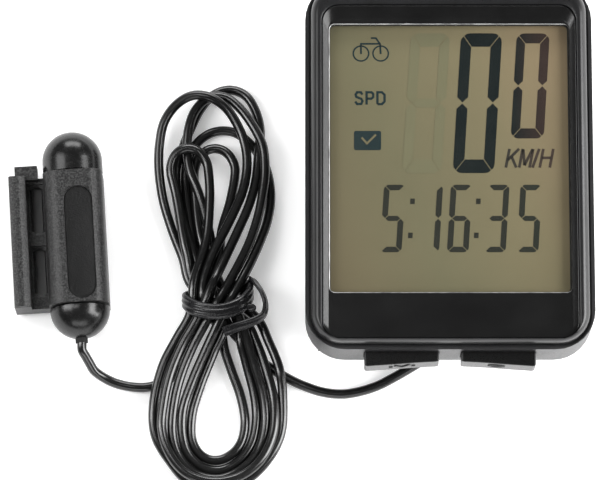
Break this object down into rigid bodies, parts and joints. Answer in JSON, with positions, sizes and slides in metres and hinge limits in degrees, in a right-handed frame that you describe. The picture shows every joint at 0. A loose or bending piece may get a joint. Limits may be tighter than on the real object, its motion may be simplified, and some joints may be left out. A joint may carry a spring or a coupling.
{
  "type": "cycling computer",
  "caption": "Wired cycling computer: slide-on display head with two buttons on a handlebar bracket, a tied hank of cable and a wheel sensor in its strap-on holder.",
  "frame": {"origin": "on the axis of the handlebar that the bracket's rubber seat grips, at the middle of the seat's length", "axes": "+X along the handlebar to the rider's right, +Y forwards to the top of the display, +Z out of the display"},
  "size_m": [0.0897, 0.0753, 0.0265],
  "materials": {
    "frame_plastic": "satin black",
    "gloss_black": "glossy black",
    "lens_clear": "clear, glossy",
    "black_film": "matte black adhesive",
    "lcd_glass": "olive reflective display",
    "white_plastic": "matte white",
    "elastomer": "silicone",
    "board_green": "solder mask",
    "component_black": "matte",
    "tinned_metal": "bright",
    "shell_plastic": "satin dark grey",
    "seal_rubber": "matte",
    "screw_steel": "zinc plated",
    "cell_steel": "nickel plated",
    "contact_brass": "bright",
    "button_plastic": "satin black",
    "bracket_plastic": "fine grained black",
    "pad_rubber": "matte",
    "spring_steel": "bright wire",
    "cable_pvc": "glossy black PVC",
    "tie_pvc": "glossy black PVC",
    "sensor_gloss": "glossy black",
    "reed_glass": "glass tube",
    "holder_plastic": "spark-eroded black"
  },
  "bodies": {
    "bracket": {"bracket_base": "bracket_plastic", "bar_pad": "pad_rubber", "left_pin_spring": "spring_steel", "right_pin_spring": "spring_steel", "left_contact_tail": "contact_brass", "right_contact_tail": "contact_brass", "cable_gland": "seal_rubber", "cable_run_head": "cable_pvc", "cable_hank": "cable_pvc", "cable_run_sensor": "cable_pvc", "hank_tie": "tie_pvc", "sensor_holder": "holder_plastic", "sensor_pad": "pad_rubber"},
    "head": {"front_frame": "frame_plastic", "display_bezel": "gloss_black", "window_lens": "lens_clear", "lens_gasket": "black_film", "lcd_panel": "lcd_glass", "lcd_holder": "white_plastic", "elastomer_connector": "elastomer", "circuit_board": "board_green", "controller_chip": "component_black", "clock_crystal": "tinned_metal", "left_switch": "component_black", "right_switch": "component_black", "rear_shell": "shell_plastic", "case_seal": "seal_rubber", "case_screws": "screw_steel", "battery": "cell_steel", "battery_holder": "component_black", "battery_contact_plus": "contact_brass", "battery_contact_minus": "contact_brass", "left_contact_post": "contact_brass", "right_contact_post": "contact_brass"},
    "left_button": {"left_button": "button_plastic", "left_button_pad": "pad_rubber", "left_plunger": "white_plastic"},
    "right_button": {"right_button": "button_plastic", "right_button_pad": "pad_rubber", "right_plunger": "white_plastic"},
    "battery_cover": {"battery_cover": "shell_plastic", "cover_o_ring": "seal_rubber"},
    "left_contact_pin": {"left_contact_pin": "contact_brass"},
    "right_contact_pin": {"right_contact_pin": "contact_brass"},
    "sensor": {"sensor_body": "sensor_gloss", "sensor_cap": "sensor_gloss", "sensor_relief": "seal_rubber", "reed_switch": "reed_glass", "reed_leads": "tinned_metal"}
  },
  "joints": [
    {"name": "head_slide", "type": "slide", "parent": "bracket", "child": "head", "axis": [0, 1, 0], "range_m": [0, 0.03]},
    {"name": "left_button_press", "type": "slide", "parent": "head", "child": "left_button", "axis": [0, 1, 0], "range_m": [0, 0.0005], "stiffness_N_per_m": 3000, "springref_m": -0.0003},
    {"name": "right_button_press", "type": "slide", "parent": "head", "child": "right_button", "axis": [0, 1, 0], "range_m": [0, 0.0005], "stiffness_N_per_m": 3000, "springref_m": -0.0003},
    {"name": "battery_cover_turn", "type": "hinge", "parent": "head", "child": "battery_cover", "pos_m": [0, 0.0216, 0.019], "axis": [0, 0, 1], "range_deg": [0, 60]},
    {"name": "left_pin_press", "type": "slide", "parent": "bracket", "child": "left_contact_pin", "axis": [0, 0, -1], "range_m": [0, 0.0006], "stiffness_N_per_m": 800, "springref_m": -0.0005, "deforming": ["left_pin_spring"]},
    {"name": "right_pin_press", "type": "slide", "parent": "bracket", "child": "right_contact_pin", "axis": [0, 0, -1], "range_m": [0, 0.0006], "stiffness_N_per_m": 800, "springref_m": -0.0005, "deforming": ["right_pin_spring"]},
    {"name": "sensor_turn", "type": "hinge", "parent": "bracket", "child": "sensor", "pos_m": [-0.05733, 0.0009, 0.0106], "axis": [-0.0628, 0.998, 0], "range_deg": [-30, 30]}
  ]
}
